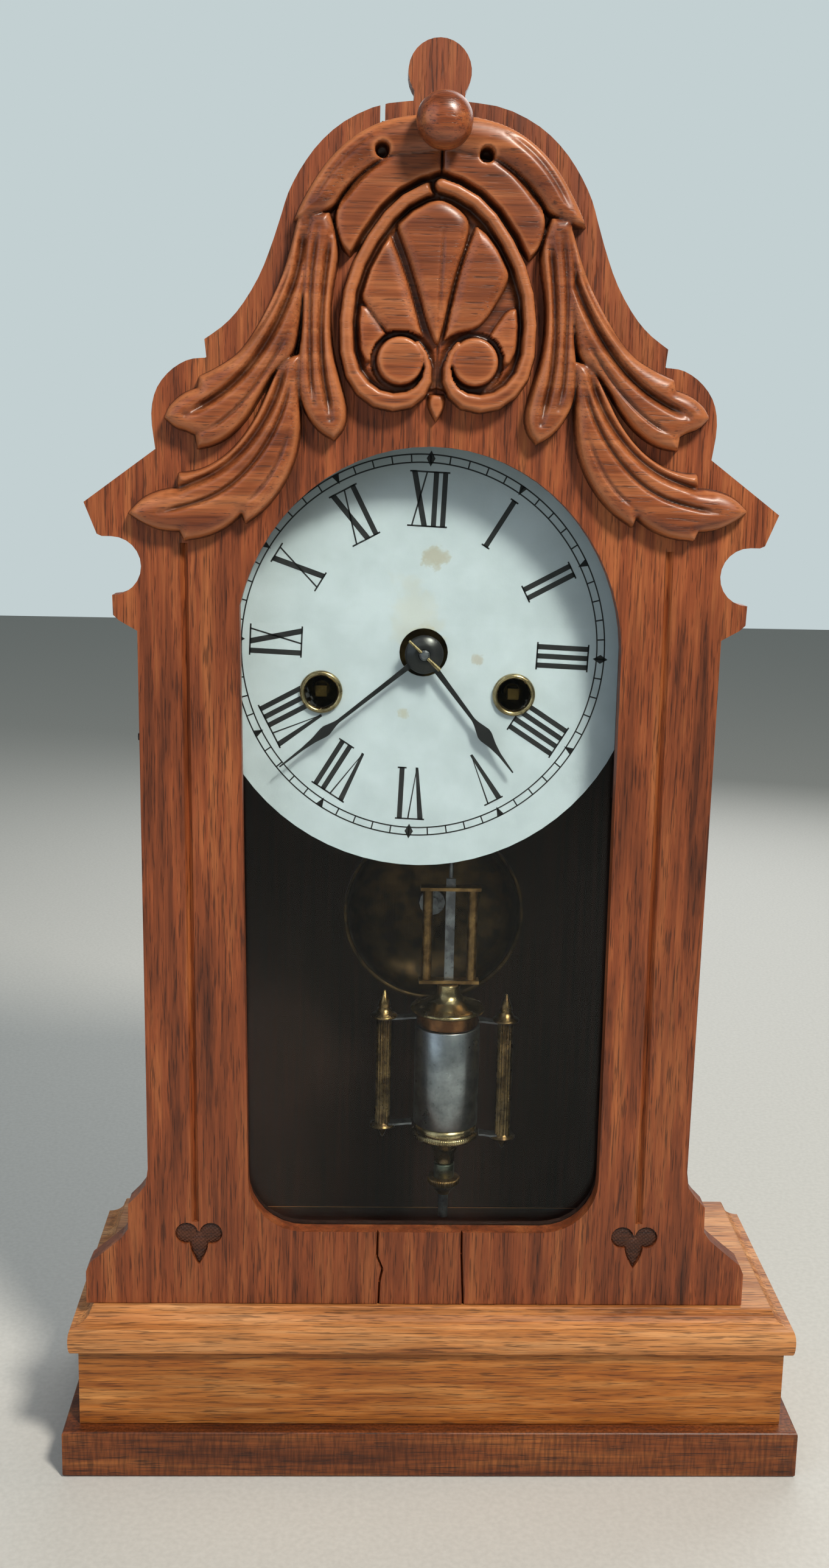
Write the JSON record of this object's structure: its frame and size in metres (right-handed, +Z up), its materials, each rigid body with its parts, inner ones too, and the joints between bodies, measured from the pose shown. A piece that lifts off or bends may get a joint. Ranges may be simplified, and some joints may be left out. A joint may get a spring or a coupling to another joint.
{
  "type": "pendulum mantel clock",
  "caption": "Carved walnut shelf clock with a glazed hinged door, round white dial with Roman numerals, striking movement, bell and a swinging pendulum.",
  "frame": {"origin": "centre of the plinth's underside", "axes": "+Z up; the dial and door face -Y; +X is to the right of someone facing the dial"},
  "size_m": [0.2658, 0.107, 0.4906],
  "materials": {
    "board": "satin shellac on walnut, worn",
    "carving": "satin shellac on carved walnut",
    "frame_wood": "satin varnish, open pores, golden brown",
    "plinth_wood": "dull brown varnish, cross-hatched figure",
    "case_wood": "dark stained softwood, dull",
    "glass": "clear old sheet glass, a little dusty",
    "dial": "off-white paint printed in black, stained",
    "hand_black": "blued and blacked steel, satin",
    "brass": "polished and aged",
    "aged_brass": "dull, darkened",
    "bell_metal": "spun bell metal, darkened",
    "steel": "bare steel, dull",
    "silvered": "silvered tube, bright satin"
  },
  "bodies": {
    "case": {"plinth": "plinth_wood", "frieze": "frame_wood", "top_moulding": "frame_wood", "case_side_left": "case_wood", "case_side_right": "case_wood", "case_top": "case_wood", "back_board": "case_wood", "dial_rail_left": "case_wood", "dial_rail_right": "case_wood", "dial_plate": "dial", "grommet_left": "brass", "grommet_right": "brass", "upper_hinge_case_leaf": "aged_brass", "lower_hinge_case_leaf": "aged_brass", "latch_pivot": "aged_brass", "front_plate": "brass", "back_plate": "brass", "pillar_upper_left": "steel", "pillar_upper_right": "steel", "pillar_lower_left": "steel", "pillar_lower_right": "steel", "time_mainspring": "steel", "strike_mainspring": "steel", "bell": "bell_metal", "bell_standard": "steel", "suspension_cock": "brass"},
    "door": {"door_board": "board", "carved_ornament": "carving", "door_knob": "board", "window_glass": "glass", "glass_retainer": "case_wood", "upper_hinge_door_leaf": "aged_brass", "lower_hinge_door_leaf": "aged_brass", "latch_eye": "aged_brass"},
    "latch": {"latch_hook": "hand_black"},
    "time_barrel": {"time_great_wheel": "brass"},
    "time_second": {"time_second_wheel": "brass"},
    "minutes": {"centre_arbor": "steel", "minute_hand": "hand_black", "hand_washer": "hand_black", "taper_pin": "brass"},
    "motion": {"minute_wheel": "brass"},
    "hours": {"hour_wheel": "brass", "hour_hand": "hand_black"},
    "fourth": {"fourth_wheel": "brass"},
    "escape": {"escape_wheel": "brass"},
    "verge": {"verge": "steel"},
    "pendulum": {"pendulum_wire": "steel", "pendulum_strap": "steel", "pendulum_frame": "brass", "bob_cap": "brass", "bob_cylinder": "silvered", "bob_base": "brass", "side_column_left": "aged_brass", "side_column_right": "aged_brass"},
    "rating": {"rating_nut": "aged_brass"},
    "strike_barrel": {"strike_great_wheel": "brass"},
    "strike_second": {"strike_second_wheel": "brass"},
    "fly": {"strike_fly": "brass"},
    "hammer": {"hammer": "steel"}
  },
  "joints": [
    {"name": "door_hinge", "type": "hinge", "parent": "case", "child": "door", "pos_m": [0.0827, -0.0257, 0.2065], "axis": [0, 0, 1], "range_deg": [0, 95]},
    {"name": "latch_turn", "type": "hinge", "parent": "case", "child": "latch", "pos_m": [-0.0965, -0.0067, 0.2665], "axis": [1, 0, 0], "range_deg": [-80, 9]},
    {"name": "minute_turn", "type": "hinge", "parent": "case", "child": "minutes", "pos_m": [-0.0081, 0.0133, 0.2965], "axis": [0, 1, 0], "continuous": true},
    {"name": "hour_turn", "type": "hinge", "parent": "case", "child": "hours", "pos_m": [-0.0081, -0.0167, 0.2965], "axis": [0, 1, 0], "continuous": true},
    {"name": "motion_turn", "type": "hinge", "parent": "case", "child": "motion", "pos_m": [-0.0151, -0.0087, 0.30862], "axis": [0, 1, 0], "continuous": true},
    {"name": "time_barrel_turn", "type": "hinge", "parent": "case", "child": "time_barrel", "pos_m": [0.0235, 0.0133, 0.2823], "axis": [0, 1, 0], "continuous": true},
    {"name": "time_second_turn", "type": "hinge", "parent": "case", "child": "time_second", "pos_m": [-0.00743, 0.0133, 0.27081], "axis": [0, 1, 0], "continuous": true},
    {"name": "fourth_turn", "type": "hinge", "parent": "case", "child": "fourth", "pos_m": [0.00363, 0.0133, 0.31331], "axis": [0, 1, 0], "continuous": true},
    {"name": "escape_turn", "type": "hinge", "parent": "case", "child": "escape", "pos_m": [0.0042, 0.0133, 0.3305], "axis": [0, 1, 0], "continuous": true},
    {"name": "pendulum_swing", "type": "hinge", "parent": "case", "child": "pendulum", "pos_m": [0.0042, -0.0037, 0.3485], "axis": [0, 1, 0], "range_deg": [-3.5, 3.5]},
    {"name": "verge_rock", "type": "hinge", "parent": "case", "child": "verge", "pos_m": [0.0042, 0.0133, 0.3485], "axis": [0, 1, 0], "range_deg": [-3.5, 3.5]},
    {"name": "rating_nut_turn", "type": "hinge", "parent": "pendulum", "child": "rating", "pos_m": [0.0042, -0.0037, 0.0965], "axis": [0, 0, 1], "continuous": true},
    {"name": "strike_barrel_turn", "type": "hinge", "parent": "case", "child": "strike_barrel", "pos_m": [-0.0433, 0.0133, 0.2823], "axis": [0, 1, 0], "continuous": true},
    {"name": "strike_second_turn", "type": "hinge", "parent": "case", "child": "strike_second", "pos_m": [-0.03067, 0.0133, 0.31279], "axis": [0, 1, 0], "continuous": true},
    {"name": "fly_turn", "type": "hinge", "parent": "case", "child": "fly", "pos_m": [-0.03067, 0.0133, 0.33439], "axis": [0, 1, 0], "continuous": true},
    {"name": "hammer_swing", "type": "hinge", "parent": "case", "child": "hammer", "pos_m": [-0.0185, 0.0173, 0.2465], "axis": [0, 1, 0], "range_deg": [-7, 12]}
  ],
  "couplings": [
    {"joint": "hour_turn", "follows": "minute_turn", "ratio": 0.083333},
    {"joint": "motion_turn", "follows": "minute_turn", "ratio": -0.33333},
    {"joint": "time_second_turn", "follows": "minute_turn", "ratio": -0.25},
    {"joint": "time_barrel_turn", "follows": "minute_turn", "ratio": 0.041667},
    {"joint": "fourth_turn", "follows": "minute_turn", "ratio": -10},
    {"joint": "escape_turn", "follows": "minute_turn", "ratio": 96.667},
    {"joint": "verge_rock", "follows": "pendulum_swing", "ratio": 1},
    {"joint": "strike_second_turn", "follows": "strike_barrel_turn", "ratio": -6},
    {"joint": "fly_turn", "follows": "strike_barrel_turn", "ratio": 30}
  ]
}
